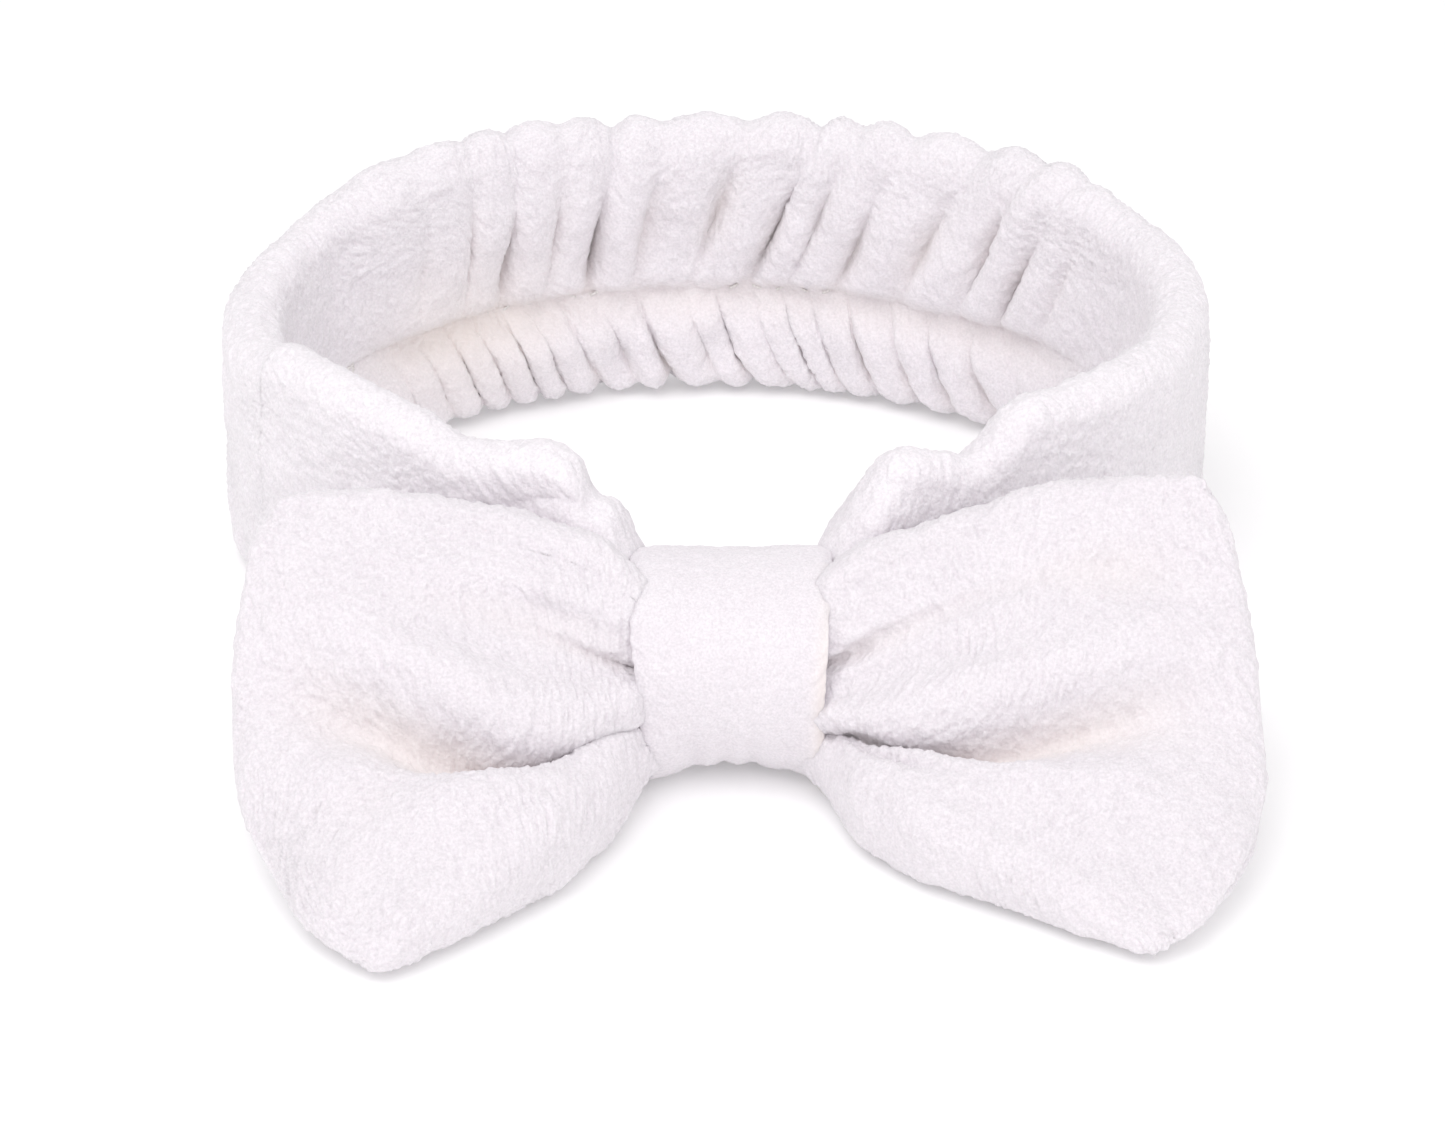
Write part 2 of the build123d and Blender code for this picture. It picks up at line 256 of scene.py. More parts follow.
def fleece_material(name, colour, shade, painted_shade_colour, tuft_size, relief):
    """Matt plush: uneven white pile, soft sheen, light that soaks in a little, and painted shade as
    a cream tint from a point attribute of the mesh.
    """
    material, nodes, links, shader = node_tree(name)
    where = nodes.new("ShaderNodeTexCoord")
    coarse = nodes.new("ShaderNodeTexNoise")
    coarse.inputs["Scale"].default_value = 1 / (9 * MM)
    coarse.inputs["Detail"].default_value = 3
    fine = nodes.new("ShaderNodeTexNoise")
    fine.inputs["Scale"].default_value = 1 / tuft_size
    fine.inputs["Detail"].default_value = 4
    fine.inputs["Roughness"].default_value = 0.65
    cells = nodes.new("ShaderNodeTexVoronoi")
    cells.inputs["Scale"].default_value = 1 / (1.3 * tuft_size)
    for texture in (coarse, fine, cells):
        links.new(where.outputs["Object"], texture.inputs["Vector"])

    patch = nodes.new("ShaderNodeMix")
    patch.data_type = "RGBA"
    patch.inputs["A"].default_value = (*colour, 1)
    patch.inputs["B"].default_value = (*shade, 1)
    links.new(coarse.outputs["Fac"], patch.inputs["Factor"])

    speck = nodes.new("ShaderNodeMapRange")
    speck.inputs["From Min"].default_value = 0.35
    speck.inputs["From Max"].default_value = 0.65
    speck.inputs["To Min"].default_value = 0.85
    speck.inputs["To Max"].default_value = 1.0
    links.new(fine.outputs["Fac"], speck.inputs["Value"])
    dots = nodes.new("ShaderNodeMix")
    dots.data_type = "RGBA"
    dots.blend_type = "MULTIPLY"
    dots.inputs["Factor"].default_value = 1
    links.new(patch.outputs["Result"], dots.inputs["A"])
    links.new(speck.outputs["Result"], dots.inputs["B"])

    # Painted shade: a point attribute of the mesh mixes the colour toward cream in creases, valleys
    # and hollows.
    valley = nodes.new("ShaderNodeAttribute")
    valley.attribute_name = "painted_shade"
    painted_shade_mix = nodes.new("ShaderNodeMix")
    painted_shade_mix.data_type = "RGBA"
    painted_shade_mix.inputs["B"].default_value = (*painted_shade_colour, 1)
    links.new(valley.outputs["Fac"], painted_shade_mix.inputs["Factor"])
    links.new(dots.outputs["Result"], painted_shade_mix.inputs["A"])
    links.new(painted_shade_mix.outputs["Result"], shader.inputs["Base Color"])

    height = nodes.new("ShaderNodeMath")
    height.operation = "MULTIPLY_ADD"
    height.inputs[1].default_value = -0.6
    links.new(cells.outputs["Distance"], height.inputs[0])
    links.new(fine.outputs["Fac"], height.inputs[2])
    relief_node = nodes.new("ShaderNodeBump")
    relief_node.inputs["Strength"].default_value = relief
    relief_node.inputs["Distance"].default_value = 0.5 * MM
    links.new(height.outputs["Value"], relief_node.inputs["Height"])
    links.new(relief_node.outputs["Normal"], shader.inputs["Normal"])

    shader.inputs["Roughness"].default_value = 0.95
    shader.inputs["Specular IOR Level"].default_value = 0.15
    shader.inputs["Sheen Weight"].default_value = 0.35
    shader.inputs["Sheen Roughness"].default_value = 0.6
    shader.inputs["Subsurface Weight"].default_value = 0.35
    shader.inputs["Subsurface Radius"].default_value = (1.0, 0.95, 0.95)
    shader.inputs["Subsurface Scale"].default_value = 2.5 * MM
    return material


def thread_material(name, colour):
    """Twisted sewing thread: fine slanted ply and a slight gloss."""
    material, nodes, links, shader = node_tree(name)
    where = nodes.new("ShaderNodeTexCoord")
    ply = nodes.new("ShaderNodeTexWave")
    ply.inputs["Scale"].default_value = 1 / (2.2 * MM)
    ply.inputs["Distortion"].default_value = 1.5
    links.new(where.outputs["Object"], ply.inputs["Vector"])
    tint = nodes.new("ShaderNodeMix")
    tint.data_type = "RGBA"
    tint.inputs["A"].default_value = (*colour, 1)
    tint.inputs["B"].default_value = (*(0.9 * c for c in colour), 1)
    links.new(ply.outputs["Fac"], tint.inputs["Factor"])
    links.new(tint.outputs["Result"], shader.inputs["Base Color"])
    relief = nodes.new("ShaderNodeBump")
    relief.inputs["Strength"].default_value = 0.5
    relief.inputs["Distance"].default_value = 0.1 * MM
    links.new(ply.outputs["Fac"], relief.inputs["Height"])
    links.new(relief.outputs["Normal"], shader.inputs["Normal"])
    shader.inputs["Roughness"].default_value = 0.55
    return material


WHITE = (0.885, 0.842, 0.878)
WHITE_SHADE = (0.840, 0.792, 0.832)
# Painted light: the ring's fleece is a lighter copy of the same white, to brighten the ring's
# shaded inside.
RING_WHITE_PAINTED_LIGHTER = (0.945, 0.903, 0.938)
RING_SHADE_PAINTED_LIGHTER = (0.912, 0.865, 0.905)
# Cream colour of the painted shade in creases, valleys and hollows.
PAINTED_SHADE_CREAM = (0.90, 0.825, 0.785)
FLEECE = fleece_material("plush_fleece", WHITE, WHITE_SHADE, PAINTED_SHADE_CREAM, 0.55 * MM, 0.55)
TIGHT_FLEECE = fleece_material(
    "plush_fleece_tight", WHITE, WHITE_SHADE, PAINTED_SHADE_CREAM, 0.45 * MM, 0.35
)
RING_FLEECE_PAINTED_LIGHTER = fleece_material(
    "plush_fleece_ring_painted_lighter", RING_WHITE_PAINTED_LIGHTER, RING_SHADE_PAINTED_LIGHTER, PAINTED_SHADE_CREAM, 0.55 * MM, 0.55
)
THREAD = thread_material("sewing_thread", (0.85, 0.82, 0.80))
ELASTIC = thread_material("woven_elastic", (0.82, 0.80, 0.78))


# ---- The ring's oval ----

BIG_SHIFT = (HALF_WIDTH - HALF_DEPTH) / (1 + math.tan(SIDE_START) - 1 / math.cos(SIDE_START))
SMALL_SHIFT = BIG_SHIFT * math.tan(SIDE_START)
BIG_RADIUS = HALF_DEPTH + BIG_SHIFT - WALL / 2
SMALL_RADIUS = HALF_WIDTH - SMALL_SHIFT - WALL / 2
FRONT_RUN = BIG_RADIUS * SIDE_START
SIDE_RUN = SMALL_RADIUS * (math.pi - 2 * SIDE_START)
HALF_RUN = 2 * FRONT_RUN + SIDE_RUN
GATHER_START = FRONT_RUN + SIDE_RUN   # where the elastic begins on each side


def oval(run):
    """Middle of the wall and its outward normal, run metres round from the front.
    Positive runs go to the right, negative ones to the left."""
    half = np.abs(run)
    front = half / BIG_RADIUS
    side = SIDE_START + (half - FRONT_RUN) / SMALL_RADIUS
    rear = math.pi - SIDE_START + (half - FRONT_RUN - SIDE_RUN) / BIG_RADIUS
    in_front = half < FRONT_RUN
    in_rear = half > FRONT_RUN + SIDE_RUN
    angle = np.where(in_front, front, np.where(in_rear, rear, side))
    radius = np.where(in_front | in_rear, BIG_RADIUS, SMALL_RADIUS)
    centre_x = np.where(in_front | in_rear, 0, SMALL_SHIFT)
    centre_y = np.where(in_front, BIG_SHIFT, np.where(in_rear, -BIG_SHIFT, 0))
    sign = np.where(run < 0, -1.0, 1.0)
    x = sign * (centre_x + radius * np.sin(angle))
    y = centre_y - radius * np.cos(angle)
    return x, y, sign * np.sin(angle), -np.cos(angle)


def signed(run):
    """Turns a run that counts on past the rear into one that is negative on the left."""
    return np.where(run > HALF_RUN, run - 2 * HALF_RUN, run)


def tube_outline(share, height, thick):
    """A flattened tube's section: share 0 to 1 goes from the middle of the inner face
    over the top, down the outer face and back under. Gives outward and upward places."""
    flat, turn = 0.375, 0.125
    straight = (height - thick) / 2
    radius = thick / 2
    place = (share + flat / 2) % 1.0
    up_inner = place < flat
    over = (place >= flat) & (place < flat + turn)
    down_outer = (place >= flat + turn) & (place < 2 * flat + turn)
    angle_over = (place - flat) / turn * math.pi
    angle_under = (place - 2 * flat - turn) / turn * math.pi
    outward = np.where(
        up_inner,
        -radius,
        np.where(
            over,
            -radius * np.cos(angle_over),
            np.where(down_outer, radius, radius * np.cos(angle_under)),
        ),
    )
    upward = np.where(
        up_inner,
        (place / flat * 2 - 1) * straight,
        np.where(
            over,
            straight + radius * np.sin(angle_over),
            np.where(
                down_outer,
                (1 - (place - flat - turn) / flat * 2) * straight,
                -straight - radius * np.sin(angle_under),
            ),
        ),
    )
    return outward, upward


def stretches(piece):
    """Bakes the piece's placement into its mesh."""
    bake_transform(piece)


# ---- Band ----

# Creases of the gathers, millimetres from the middle of the rear towards the right.
UPPER_CREASES = (
    -90, -72, -60, -49, -39, -28.5, -19, -6.5, 6.5, 14.5, 25, 41, 55, 65, 75, 90,
)
UPPER_DEPTHS = (
    0, 0.25, 0.55, 0.8, 0.7, 1.35, 0.9, 1.2, 1.25, 0.7, 1.1, 1.15, 1.0, 1.0, 0.6, 0,
)
LOWER_CREASES = (
    -90, -79, -70, -62.5, -56, -49, -42.5, -35, -27, -19, -8, -1, 8, 14, 19.5, 27.5, 38, 47,
    57.5, 68, 78, 90,
)
LOWER_DEPTHS = (
    0, 0.3, 0.5, 0.8, 0.7, 0.9, 0.8, 1.0, 0.6, 1.5, 0.6, 1.1, 0.5, 0.7, 0.6, 1.0, 0.9, 1.1,
    1.0, 0.6, 0.3, 0,
)


# Hollows and puffs of the inner face: place, height over the seam, half width, half height
# and depth, millimetres; a puff has a negative depth.
HOLLOWS = (
    (-12, 12, 5, 9, 2.6),
    (-28.5, 7, 6, 8, 3.2),
    (-48, 6, 5, 9, 2.8),
    (-39, -7, 9, 6, -2.6),
    (-11, -5, 13, 5, -2.6),
    (-22, -15, 4, 6, 3.0),
    (25, 10, 4, 7, 1.6),
    (0, -11, 4, 5, 2.2),
    (33, -6, 12, 4, -1.2),
    (60, -8, 9, 7, -1.4),
)


def pleats(place, creases, depths):
    """How full each pleat is, 1 on its crown and lower in its creases; how sharply its
    crease is pulled in and at what share of its height; and the pleat's running number."""
    creases = np.array(creases) * MM
    index = np.arange(len(creases))
    phase = np.interp(place, creases, index)
    swing = np.sqrt((np.sin(math.pi * phase) ** 2 + 0.035) / 1.035)
    depth = np.interp(phase, index, depths)
    sharp = (1 - swing**0.8) * depth
    nearest = np.rint(phase).astype(int)
    centre = 0.30 + 0.22 * ((nearest * 7) % 5) / 4
    return 1 - (1 - swing**1.1) * depth, sharp, centre, phase


def rims(x, out):
    """Heights of the ring's upper and lower edge, out metres from the knot's middle. The knot
    squeezes the band, and the sides of the pinch are lumpy."""
    top_left = through(
        np.array([0, 14, 17, 20, 24, 26.5, 30, 38, 48, 54, 60, 200]) * MM,
        np.array([31, 33, 38.5, 44, 46.5, 51.5, 54.3, 54, 53.2, 55.8, 57, 57]) * MM,
        out,
    )
    top_right = through(
        np.array([0, 14, 17, 20, 24, 27, 36, 43, 46, 50, 60, 200]) * MM,
        np.array([31, 33, 38, 42.5, 48.5, 52, 51.5, 50.3, 53, 56.8, 57, 57]) * MM,
        out,
    )
    bottom = through(
        np.array([0, 14, 19, 24, 30, 40, 200]) * MM,
        np.array([10, 9.5, 5, 2, 0.8, 0.4, 0.4]) * MM,
        out,
    )
    return np.where(x < BOW_SHIFT, top_left, top_right), bottom


def band():
    """The whole tube of fleece: smooth in front, gathered on its elastic at the rear."""
    around, across = 1560, 330
    run = (np.arange(around) + 0.5) / around * 2 * HALF_RUN
    run = run[:, None]
    share = (np.arange(across) / across)[None, :]
    place = signed(run)
    half = np.abs(place)
    gathered = smooth(GATHER_START - 14 * MM, GATHER_START + 16 * MM, half)
    x, y, normal_x, normal_y = oval(place)
    in_front = half < FRONT_RUN + 6 * MM
    out = np.where(in_front, np.abs(x - BOW_SHIFT), FAR)
    top, bottom = rims(x, out)
    side = FRONT_RUN + SIDE_RUN / 2
    top = top - 4.4 * MM * bump(place, -side + 6 * MM, 40 * MM)
    top = top + 3.6 * MM * gathered * np.cos((half - HALF_RUN) / HALF_RUN * 1.3)
    pinched = 1 - smooth(13 * MM, 21 * MM, out)
    thick = WALL * (1 + 0.6 * (1 - smooth(15 * MM, 34 * MM, out))) + 1.5 * MM * gathered
    y = y - 2.0 * MM * pinched
    outward, upward = tube_outline(share + 0 * run, top - bottom, thick)
    up = (top + bottom) / 2 + upward

    # Soft fullness of the smooth stretch, and shallow folds that run to the knot.
    level = np.clip(upward / (BAND_HEIGHT / 2), -1, 1)
    face = np.sign(outward) * np.minimum(np.abs(outward) / (thick / 2), 1)
    outward = outward + face * (1 - gathered) * 1.0 * MM * (1 - level**2)
    to_knot = bump(half, 22 * MM, 13 * MM)
    folds = np.abs(np.sin(level * 5.5 + half / (16 * MM) + np.where(x < 0, 0.8, 0)))
    outward = outward - face * to_knot * 2.0 * MM * (1 - folds**0.7)

    # A few slack folds where the left side turns.
    slack = bump(place, -side, 26 * MM) * smooth(0.2, -0.6, level)
    outward = outward + face * slack * 1.8 * MM * np.sin(place / (4.2 * MM) + level * 2.5)

    # Gathers: two puffed rolls with the stitched valley between them.
    rise = up - SEAM_Z
    upper = rise > 0
    reach = np.where(upper, BAND_HEIGHT - SEAM_Z, SEAM_Z)
    climb = np.clip(np.abs(rise) / reach, 0, 1)
    inner = outward < 0
    rightward = HALF_RUN - run
    lean = 0.16 + 0.26 * smooth(-30 * MM, 20 * MM, rightward)
    wander = noise(
        np.stack([x + 0 * share, y + 0 * share, up * 0.6], axis=-1), 16 * MM, 3
    ) * 1.6 * MM
    full_upper, sharp_upper, at_upper, phase_upper = pleats(
        rightward - lean * rise + wander, UPPER_CREASES, UPPER_DEPTHS
    )
    full_lower, sharp_lower, at_lower, phase_lower = pleats(
        rightward + 0.42 * rise + wander + np.where(inner, 0, 2) * MM, LOWER_CREASES, LOWER_DEPTHS
    )
    full = np.where(upper, full_upper, full_lower)
    sharp = np.where(upper, sharp_upper, sharp_lower)
    phase = np.where(upper, phase_upper, phase_lower)
    low_rise = rise + 0.8 * MM
    valley = bump(low_rise, 0, np.where(low_rise > 0, 2.8, 5.0) * MM)
    lobe = np.sin(math.pi * climb**0.75) ** 0.7
    pulled = np.where(upper, bump(climb, at_upper, 0.27), bump(climb, at_lower + 0.28, 0.3))
    deep = gathered * (0.10 + 0.90 * lobe) * np.where(upper, 2.3, 2.1) * MM
    swell = gathered * lobe * np.where(upper, 3.2, 2.4) * MM
    outward = outward + face * (swell - deep * (1 - full))
    outward = outward - face * gathered * pulled * sharp * np.where(upper, 3.4, 2.0) * MM
    for middle, height, wide, tall, depth in HOLLOWS:
        spot = bump(rightward, middle * MM, wide * MM) * bump(rise, height * MM, tall * MM)
        outward = outward - face * spot * inner * depth * MM
    outward = outward * (1 - gathered * valley * 0.42)
    edge = smooth(0.55, 1.0, climb)
    up = up - np.sign(rise) * gathered * edge * (1 - full) * np.where(upper, 1.5, 3.0) * MM
    up = up + np.sign(rise) * gathered * edge * full * np.where(upper, 0.8, 0.3) * MM
    sway = np.sin(2 * math.pi * phase) * 1.0 * MM * gathered * lobe

    lumps = np.stack([x + 0 * share, y + 0 * share, up], axis=-1)
    outward = outward + noise(lumps, 21 * MM, 5) * 1.0 * MM * np.abs(face)
    outward = outward + noise(lumps, 8 * MM, 8) * 0.5 * MM * face * (0.4 + gathered)
    outward = outward + noise(lumps, 13 * MM, 9) * 0.9 * MM * face * gathered
    up = up + noise(lumps, 26 * MM, 6) * 1.0 * MM * np.clip(level, 0, 1)

    tangent_x, tangent_y = -normal_y, normal_x
    points = np.stack(
        [
            x + outward * normal_x + sway * tangent_x,
            y + outward * normal_y + sway * tangent_y,
            up,
        ],
        axis=-1,
    )
    points = rested(points)
    points = piled(points, True, 1, 40)
    points[..., 2] = np.maximum(points[..., 2], ABOVE_TABLE)
    # Painted shade: cream in the seam's valley and in the pulled creases of the inner face.
    painted_shade = gathered * (0.35 * valley + 0.45 * sharp * pulled) * inner
    # Painted shade: cream in the broad shaded hollow of the inner face, left of the rear's middle.
    painted_hollow_shade = bump(rightward, -60 * MM, 22 * MM) * bump(rise, -2 * MM, 15 * MM)
    painted_shade = painted_shade + 0.55 * painted_hollow_shade * inner
    piece = grid_object("band_fleece", points, True, np.clip(painted_shade, 0, 1))
    piece.data.materials.append(RING_FLEECE_PAINTED_LIGHTER)
    stretches(piece)
    return piece


# ---- Bow ----

WING_ROWS = np.array([0, 0.16, 0.24, 0.35, 0.57, 0.81, 1])
WING_COLUMNS = np.array([0, 0.25, 0.5, 0.75, 1])
WING_START = -13 * MM

# Rows go from the knot to the outer edge, columns from the wing's top to its bottom.
WINGS = {
    "right": {
        "back": [
            [-4, -4, -4, -5, -6],
            [3, 0.5, -1.5, -6, -10],
            [6.5, 3, -1, -9, -18],
            [11, 7, 0.5, -11, -22.5],
            [20, 13.5, 4, -11.5, -27],
            [27, 19.5, 9, -8, -30.5],
            [30.5, 22, 13, -5, -36],
        ],
        "up": [
            [29, 25, 20.5, 14, 10],
            [35.5, 28.5, 20.5, 12, 8],
            [38.5, 30.5, 20.5, 11, 7.5],
            [41, 32, 21, 11, 7.5],
            [46.5, 36, 23, 11.5, 7.5],
            [50.5, 39, 25, 12, 6],
            [53, 41, 26, 12, 3],
        ],
        "half": [
            [5, 8, 8.5, 8, 5],
            [8.5, 9.5, 10, 9.5, 7],
            [7, 9.5, 10, 10, 7.5],
            [7, 9.5, 10.5, 10.5, 8],
            [5.5, 9.5, 10.5, 11, 7.5],
            [4.5, 8.5, 10, 10, 6],
            [4, 7.5, 8.5, 8, 4],
        ],
        "end": [50, 58, 65.5, 71.5, 69.5],
        "valley_at": [0.88, 0.85, 0.76, 0.65, 0.57, 0.54],
        "valley_deep": [0.4, 2.6, 6.2, 7.6, 5.8, 0.0],
        "upper_at": [0.40, 0.33, 0.27, 0.22, 0.2, 0.2],
        "upper_deep": [2.4, 2.8, 1.6, 0.8, 0.4, 0.0],
    },
    "left": {
        "back": [
            [-4, -4, -4, -5, -6],
            [3, 0.5, -1.5, -6, -10],
            [6.5, 3, -1, -9, -17],
            [11, 7, 0, -12, -23],
            [19.5, 12.5, 2, -15, -31],
            [26.5, 18, 7, -13, -37.5],
            [30, 22, 12, -9, -45.5],
        ],
        "up": [
            [29, 25, 20.5, 14, 10],
            [35.5, 28.5, 20.5, 12, 8],
            [38.5, 30.5, 20.5, 11, 7.5],
            [40.5, 32, 21, 11, 7.5],
            [44, 35, 23, 11.5, 8],
            [46.5, 37, 24.5, 12, 7],
            [48, 38, 25, 11, 3],
        ],
        "half": [
            [5, 8, 8.5, 8, 5],
            [8.5, 9.5, 10, 9.5, 7],
            [7, 9.5, 10, 10, 7.5],
            [7, 9.5, 10.5, 10.5, 8],
            [6, 9.5, 10.5, 11.5, 8.5],
            [5, 8.5, 10, 11, 7.5],
            [4, 7.5, 8.5, 8.5, 4.5],
        ],
        "end": [47, 54, 60, 65, 61],
        "valley_at": [0.69, 0.76, 0.80, 0.67, 0.565, 0.52],
        "valley_deep": [1.5, 6.0, 8.5, 9.5, 8.5, 0.0],
        "upper_at": [0.42, 0.38, 0.34, 0.3, 0.26, 0.26],
        "upper_deep": [2.4, 2.8, 1.5, 0.5, 0.0, 0.0],
    },
}
FOLD_ROWS = np.array([0, 0.15, 0.35, 0.6, 0.8, 1])


def wing_spine(along, across, net):
    """Evaluates a given net of values: rows along the wing, columns across it."""
    net = np.array(net) * MM
    flat_across = across.ravel()
    by_row = np.stack([through(WING_COLUMNS, row, flat_across) for row in net], axis=0)
    flat_along = along.ravel()
    rows = WING_ROWS
    index = np.clip(np.searchsorted(rows, flat_along) - 1, 0, len(rows) - 2)
    slopes = np.gradient(by_row, rows, axis=0)
    width = rows[index + 1] - rows[index]
    a, b, c, d = curve_weights(np.clip((flat_along - rows[index]) / width, 0, 1))
    column = np.arange(len(flat_along))
    low, high = by_row[index, column], by_row[index + 1, column]
    low_slope, high_slope = slopes[index, column], slopes[index + 1, column]
    value = a * low + b * width * low_slope + c * high + d * width * high_slope
    return value.reshape(along.shape)


def wing_folds(along, across, name):
    """How far the front face rises or sinks in the bow's folds, and how far the rolls hang
    over the valley below them."""
    shape = WINGS[name]
    valley_at = through(FOLD_ROWS, shape["valley_at"], along)
    valley_deep = through(FOLD_ROWS, shape["valley_deep"], along)
    narrow = through([0, 0.3, 1], [0.045, 0.06, 0.12], along)
    folds = -valley_deep * bump(across, valley_at, narrow)
    roll = through([0, 0.2, 0.5, 0.8, 1], [1.0, 3.4, 4.4, 2.8, 0], along)
    folds = folds + roll * bump(across, valley_at - 0.17, 0.10)
    lower = through([0, 0.3, 0.6, 1], [0.3, 3.0, 3.6, 0.8], along)
    folds = folds + lower * bump(across, valley_at + 0.22, 0.13)
    upper_at = through(FOLD_ROWS, shape["upper_at"], along)
    upper_deep = through(FOLD_ROWS, shape["upper_deep"], along)
    folds = folds - upper_deep * bump(across, upper_at, 0.045)
    hang = valley_deep / 8 * 2.6 * bump(across, valley_at - 0.08, 0.07)
    hang = hang + upper_deep / 4 * 1.2 * bump(across, upper_at - 0.06, 0.05)
    if name == "right":
        folds = folds - 3.4 * bump(along, 0.78, 0.17) * bump(across, 0.24, 0.09)
        folds = folds - 2.4 * bump(along, 0.32, 0.12) * bump(across, 0.93, 0.035)
        folds = folds + 1.2 * bump(along, 0.55, 0.16) * bump(across, 0.33, 0.10)
    else:
        folds = folds + 1.4 * bump(along, 0.35, 0.18) * bump(across, 0.14, 0.08)
        folds = folds - 1.2 * bump(along, 0.32, 0.2) * bump(across, 0.26, 0.05)
        folds = folds - 3.8 * bump(along, 0.78, 0.16) * bump(across, 0.80, 0.08)
        folds = folds - 1.6 * bump(along, 0.86, 0.1) * bump(across, 0.40, 0.10)
    # Small gathers fan out from the knot.
    fan = bump(along, 0.05, 0.10)
    folds = folds - 0.6 * fan * (1 - np.abs(np.sin(across * 15 + 0.6)) ** 0.6)
    return folds * MM, hang * MM


def rounded_corner(along, across, start):
    """Draws the corner where both shares reach 1 in to a round."""
    first = np.clip((along - start) / (1 - start), 0, 1)
    second = np.clip((across - start) / (1 - start), 0, 1)
    drawn_along = start + (1 - start) * first * np.sqrt(1 - second**2 / 2)
    drawn_across = start + (1 - start) * second * np.sqrt(1 - first**2 / 2)
    return (
        np.where(along > start, drawn_along, along),
        np.where(across > start, drawn_across, across),
    )


def wing(name):
    """A puffed two-panel wing, gathered at the knot and resting its lower lobe."""
    side = 1 if name == "right" else -1
    shape = WINGS[name]
    rows, face_steps, fold_steps = 420, 250, 36
    along = np.linspace(0, 1, rows)
    along = (1 - (1 - along) ** 1.35)[:, None]
    # Front face downwards, round the bottom fold, back face upwards, round the top fold.
    down = np.linspace(0, 1, face_steps)
    turn = np.linspace(0, math.pi, fold_steps + 2)[1:-1]
    ones, none = np.ones(face_steps), np.zeros(face_steps)
    across = np.concatenate([down, np.ones(fold_steps), down[::-1], np.zeros(fold_steps)])
    facing = np.concatenate([ones, np.cos(turn), -ones, -np.cos(turn)])
    beyond = np.concatenate([none, np.sin(turn), none, -np.sin(turn)])
    across, facing, beyond = (np.broadcast_to(a, (rows, len(a))) for a in (across, facing, beyond))
    along = np.broadcast_to(along, across.shape)
    closing = np.sqrt(np.clip(1 - along**6, 0, 1))
    along, across = rounded_corner(along, across, 0.90)
    along, upside_down = rounded_corner(along, 1 - across, 0.93)
    across = 1 - upside_down

    back = wing_spine(along, across, shape["back"])
    up = wing_spine(along, across, shape["up"])
    half = wing_spine(along, across, shape["half"])
    ahead = np.clip(across + 1e-3, 0, 1)
    behind = np.clip(across - 1e-3, 0, 1)
    run_back = wing_spine(along, ahead, shape["back"]) - wing_spine(along, behind, shape["back"])
    run_up = wing_spine(along, ahead, shape["up"]) - wing_spine(along, behind, shape["up"])
    length = np.hypot(run_back, run_up)
    tangent = (run_back / length, run_up / length)
    normal = (tangent[1], -tangent[0])
    folds, hang = wing_folds(along, across, name)
    front = np.clip(facing, 0, 1) * closing
    thick = half * closing * facing + folds * front
    slide = beyond * half * closing + hang * front
    back = back + thick * normal[0] + slide * tangent[0]
    up = up + thick * normal[1] + slide * tangent[1]
    end = through(WING_COLUMNS, np.array(shape["end"]) * MM, across)
    distance = WING_START + along * (end - WING_START)

    hinge = JOINTS["bow_%s_swing" % name]["pos_m"]
    x = abs(hinge[0]) + distance * math.cos(SWEEP) + back * math.sin(SWEEP)
    y = hinge[1] - distance * math.sin(SWEEP) + back * math.cos(SWEEP)
    points = np.stack([side * x + BOW_SHIFT, y, up], axis=-1)
    points[..., 0] += noise(points, 17 * MM, 70 + side) * 0.5 * MM
    lumps = noise(points, 13 * MM, 60 + side) * 0.8 + noise(points, 6 * MM, 64 + side) * 0.35
    to_edge = smooth(0, 0.12, closing)
    fade = smooth(0, 0.15, along) * to_edge
    points = points + grid_normals(points, False) * -side * (lumps * fade * 0.9 * MM)[..., None]
    points = rested(points)
    points = piled(points, False, -side, 80 + side, PILE * to_edge)
    points[..., 2] = np.maximum(points[..., 2], ABOVE_TABLE)
    # Painted shade: cream in the fold valleys of the front face, deeper folds more.
    painted_shade = np.clip(-folds / (7 * MM), 0, 1) * np.clip(facing, 0, 1) * smooth(1, 0.6, along)
    piece = grid_object("bow_wing_" + name, points, False, painted_shade * 0.5, flip=side > 0)
    piece.data.materials.append(FLEECE)
    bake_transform(piece)
    return piece


# ---- Knot ----


